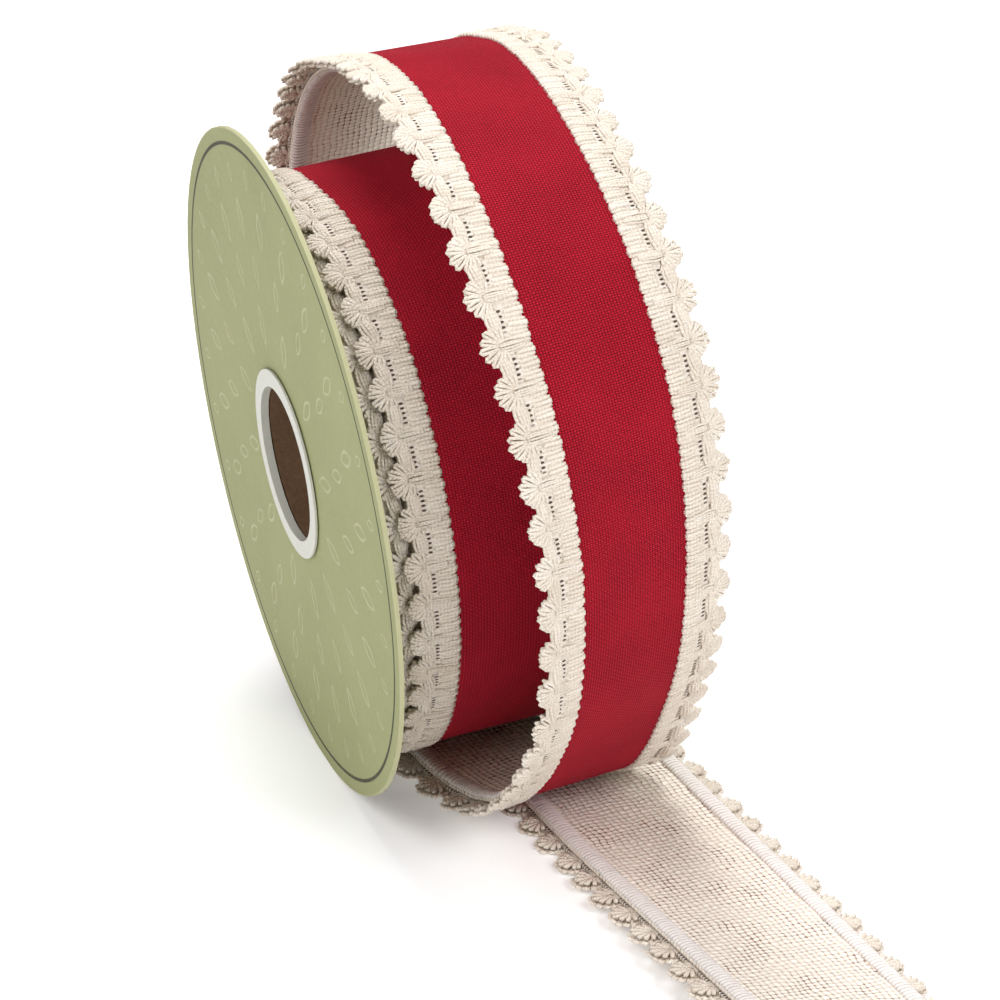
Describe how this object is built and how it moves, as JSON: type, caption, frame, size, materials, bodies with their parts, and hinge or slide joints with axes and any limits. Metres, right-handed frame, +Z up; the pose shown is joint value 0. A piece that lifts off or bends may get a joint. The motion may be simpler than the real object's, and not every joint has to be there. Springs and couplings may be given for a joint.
{
  "type": "spool of wired ribbon",
  "caption": "Card spool wound with wide wired ribbon: a coloured band on open-weave backing with scalloped crochet edges, a loose outer turn and a free end.",
  "frame": {"origin": "on the surface it rests on, under the middle of the whole thing", "axes": "+X along the spool's axis from the printed flange toward the loose turn, -Y toward the free end, +Z up"},
  "size_m": [0.1026, 0.2494, 0.1656],
  "materials": {
    "card": "smooth printed cardboard",
    "core": "raw brown cardboard",
    "hub": "satin",
    "cloth": "open plain weave",
    "band": "fine matte weave",
    "crochet": "soft cotton cord"
  },
  "bodies": {
    "root": {"spool_flange_left": "card", "spool_flange_right": "card", "spool_core": "core", "hub_ring_left": "hub", "hub_ring_right": "hub", "ribbon_roll": "cloth", "ribbon_backing": "cloth", "ribbon_face": "band", "trim_left": "crochet", "trim_right": "crochet"}
  },
  "joints": []
}
